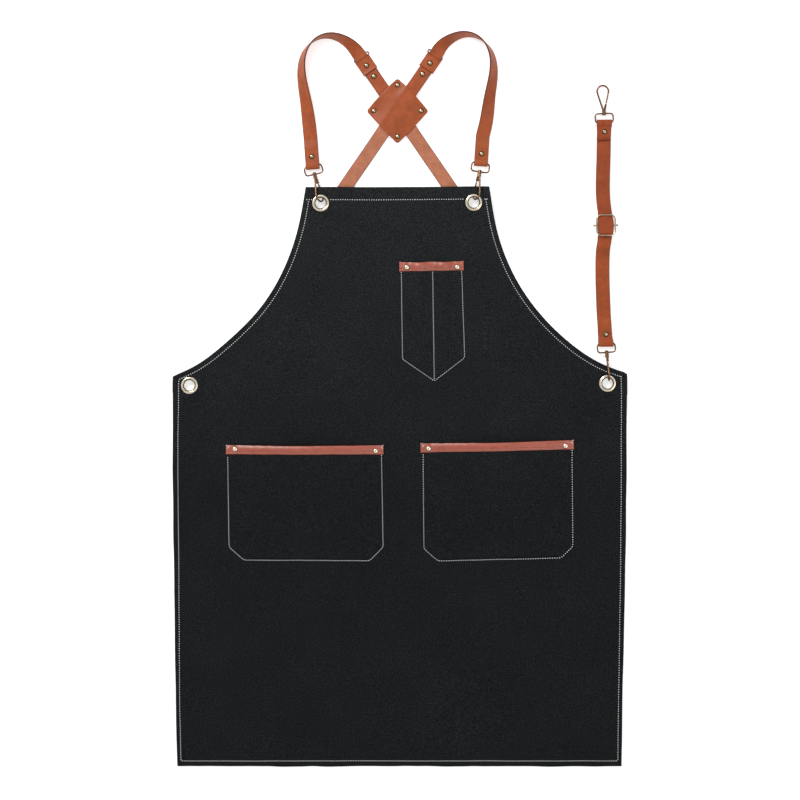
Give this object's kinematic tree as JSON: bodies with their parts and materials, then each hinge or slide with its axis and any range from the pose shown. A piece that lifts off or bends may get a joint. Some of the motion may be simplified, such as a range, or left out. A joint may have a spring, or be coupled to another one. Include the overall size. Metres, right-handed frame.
{
  "type": "artist apron",
  "caption": "Bib apron of dark canvas with leather-trimmed pockets and a cross-back leather harness clipped to metal eyelets, laid flat.",
  "frame": {"origin": "centre of the whole apron's outline, on the table that it lies on", "axes": "+Z is the front of the apron, facing up; +Y points to the top of the bib; +X is to the right of somebody looking at its front"},
  "size_m": [0.659, 1.066, 0.0209],
  "materials": {
    "canvas": "charcoal cotton canvas",
    "strap_leather": "smooth tan leather, darker edges",
    "flesh_leather": "flesh side of tan leather",
    "trim_leather": "red-tan leather, glazed",
    "pale_gold": "polished pale gold plating",
    "antique_gold": "antique rose-gold plating",
    "dark_metal": "dark bronze plating",
    "thread": "pale grey sewing thread"
  },
  "bodies": {
    "apron_and_harness": {"apron_panel": "canvas", "top_left_eyelet": "pale_gold", "top_right_eyelet": "pale_gold", "side_left_eyelet": "pale_gold", "side_right_eyelet": "pale_gold", "eyelet_washers": "pale_gold", "chest_pocket": "canvas", "chest_pocket_trim": "trim_leather", "chest_pocket_rivets": "pale_gold", "left_pocket": "canvas", "left_pocket_trim": "trim_leather", "left_pocket_rivets": "pale_gold", "right_pocket": "canvas", "right_pocket_trim": "trim_leather", "right_pocket_rivets": "pale_gold", "left_shoulder_strap": "strap_leather", "right_shoulder_strap": "strap_leather", "shoulder_strap_rivets": "pale_gold", "left_back_strap": "flesh_leather", "right_back_strap": "flesh_leather", "back_strap_rivets": "pale_gold", "left_back_loop": "antique_gold", "right_back_loop": "antique_gold", "cross_patch_front": "trim_leather", "cross_patch_back": "flesh_leather", "cross_patch_rivets": "pale_gold", "adjustment_rivets": "pale_gold"},
    "left_adjuster": {"left_adjuster_sleeve": "strap_leather", "left_adjuster_keeper": "dark_metal", "left_sleeve_rivet": "pale_gold"},
    "right_adjuster": {"right_adjuster_sleeve": "strap_leather", "right_adjuster_keeper": "dark_metal", "right_sleeve_rivet": "pale_gold"},
    "top_left_d_ring": {"top_left_d_ring": "antique_gold"},
    "top_left_hook": {"top_left_hook": "antique_gold", "top_left_swivel": "antique_gold", "top_left_gate_pin": "antique_gold"},
    "top_left_gate": {"top_left_gate": "antique_gold"},
    "top_right_d_ring": {"top_right_d_ring": "antique_gold"},
    "top_right_hook": {"top_right_hook": "antique_gold", "top_right_swivel": "antique_gold", "top_right_gate_pin": "antique_gold"},
    "top_right_gate": {"top_right_gate": "antique_gold"},
    "waist_lower_d_ring": {"waist_lower_d_ring": "antique_gold"},
    "waist_lower_hook": {"waist_lower_hook": "antique_gold", "waist_lower_swivel": "antique_gold", "waist_lower_gate_pin": "antique_gold"},
    "waist_lower_gate": {"waist_lower_gate": "antique_gold"},
    "waist_upper_d_ring": {"waist_upper_d_ring": "antique_gold"},
    "waist_upper_hook": {"waist_upper_hook": "antique_gold", "waist_upper_swivel": "antique_gold", "waist_upper_gate_pin": "antique_gold"},
    "waist_upper_gate": {"waist_upper_gate": "antique_gold"},
    "waist_lower_strap": {"waist_lower_strap": "strap_leather", "waist_lower_rivet": "pale_gold", "waist_slider_bar": "antique_gold", "waist_slider_frame": "antique_gold"},
    "waist_upper_strap": {"waist_upper_strap": "strap_leather", "waist_upper_rivet": "pale_gold"}
  },
  "joints": [
    {"name": "top_left_d_ring_hinge", "type": "hinge", "parent": "apron_and_harness", "child": "top_left_d_ring", "pos_m": [-0.1269, 0.3393, 0.0044], "axis": [0.9736, 0.2281, 0], "range_deg": [-1.5, 2]},
    {"name": "top_left_hook_swivel", "type": "hinge", "parent": "top_left_d_ring", "child": "top_left_hook", "pos_m": [-0.12396, 0.32674, 0.00598], "axis": [0.2264, -0.9664, 0.1219], "range_deg": [-6, 6]},
    {"name": "top_right_d_ring_hinge", "type": "hinge", "parent": "apron_and_harness", "child": "top_right_d_ring", "pos_m": [0.1175, 0.3432, 0.0044], "axis": [0.989, -0.1482, 0], "range_deg": [0, 2]},
    {"name": "top_right_hook_swivel", "type": "hinge", "parent": "top_right_d_ring", "child": "top_right_hook", "pos_m": [0.11559, 0.33044, 0.00598], "axis": [-0.1471, -0.9816, 0.1219], "range_deg": [-6, 6]},
    {"name": "top_left_gate_hinge", "type": "hinge", "parent": "top_left_hook", "child": "top_left_gate", "pos_m": [-0.11935, 0.31474, 0.00484], "axis": [-0.8014, -0.2559, -0.5406], "range_deg": [0, 10], "stiffness_Nm_per_rad": 0.01, "springref_deg": -17.19},
    {"name": "top_right_gate_hinge", "type": "hinge", "parent": "top_right_hook", "child": "top_right_gate", "pos_m": [0.11197, 0.3181, 0.00484], "axis": [-0.8196, 0.1899, 0.5406], "range_deg": [0, 10], "stiffness_Nm_per_rad": 0.01, "springref_deg": -17.19},
    {"name": "waist_lower_gate_hinge", "type": "hinge", "parent": "waist_lower_hook", "child": "waist_lower_gate", "pos_m": [0.30076, 0.05649, 0.01125], "axis": [0.9975, 0.071, 0], "range_deg": [0, 10], "stiffness_Nm_per_rad": 0.01, "springref_deg": -17.19},
    {"name": "waist_upper_gate_hinge", "type": "hinge", "parent": "waist_upper_hook", "child": "waist_upper_gate", "pos_m": [0.29862, 0.42772, 0.00351], "axis": [-0.0018, 0.0349, 0.9994], "range_deg": [0, 22], "stiffness_Nm_per_rad": 0.01, "springref_deg": -17.19},
    {"name": "waist_strap_swing", "type": "hinge", "parent": "apron_and_harness", "child": "waist_lower_hook", "pos_m": [0.3009, 0.0235, 0.009], "axis": [0, 0, 1], "range_deg": [-70, 12]},
    {"name": "waist_lower_swivel", "type": "hinge", "parent": "waist_lower_hook", "child": "waist_lower_d_ring", "pos_m": [0.29991, 0.06837, 0.00628], "axis": [0.0702, -0.987, 0.1444], "range_deg": [-6, 6]},
    {"name": "waist_strap_lift", "type": "hinge", "parent": "waist_lower_d_ring", "child": "waist_lower_strap", "pos_m": [0.299, 0.0812, 0.0044], "axis": [0.9975, 0.071, 0], "range_deg": [0, 75]},
    {"name": "waist_strap_length", "type": "slide", "parent": "waist_lower_strap", "child": "waist_upper_strap", "axis": [0.0117, -0.9987, 0.0502], "range_m": [0, 0.1]},
    {"name": "waist_upper_d_ring_hinge", "type": "hinge", "parent": "waist_upper_strap", "child": "waist_upper_d_ring", "pos_m": [0.29675, 0.4021, 0.0044], "axis": [0.9986, 0.0523, 0], "range_deg": [0, 75]},
    {"name": "waist_upper_swivel", "type": "hinge", "parent": "waist_upper_d_ring", "child": "waist_upper_hook", "pos_m": [0.29607, 0.41507, 0.00395], "axis": [-0.0523, 0.998, -0.0349], "continuous": true},
    {"name": "left_adjuster_slide", "type": "slide", "parent": "apron_and_harness", "child": "left_adjuster", "axis": [0.5654, -0.8248, 0], "range_m": [0, 0.004]},
    {"name": "right_adjuster_slide", "type": "slide", "parent": "apron_and_harness", "child": "right_adjuster", "axis": [-0.5654, -0.8248, 0], "range_m": [0, 0.004]}
  ]
}
